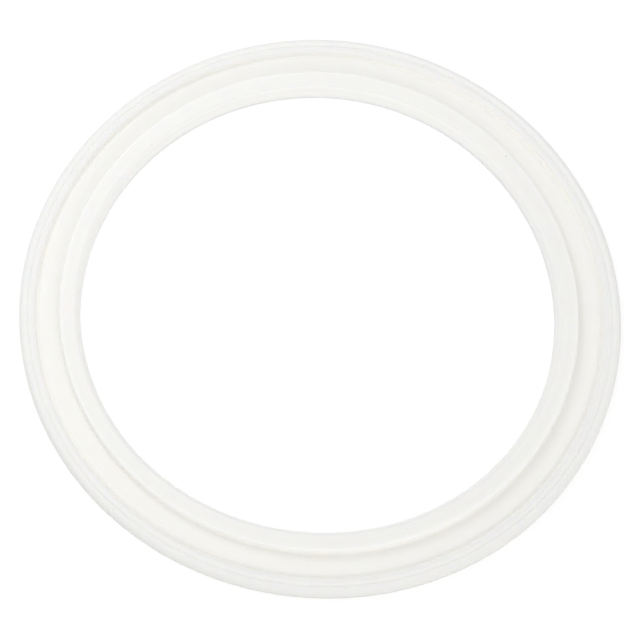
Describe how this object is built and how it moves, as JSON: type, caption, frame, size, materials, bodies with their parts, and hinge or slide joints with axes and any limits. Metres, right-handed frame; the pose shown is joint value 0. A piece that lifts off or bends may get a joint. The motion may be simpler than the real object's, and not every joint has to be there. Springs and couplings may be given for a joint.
{
  "type": "silicone jar lid seal",
  "caption": "Flat moulded silicone ring that seals a jar lid, with low sealing beads along its rim and a raised collar round its bore.",
  "frame": {"origin": "centre of the bore, in the plane of the flat underside that the ring lies on", "axes": "+Z along the axis of the ring, out of the face with the beads and the collar"},
  "size_m": [0.1, 0.1, 0.0031],
  "materials": {
    "silicone": "satin"
  },
  "bodies": {
    "root": {"lid_seal": "silicone"}
  },
  "joints": []
}
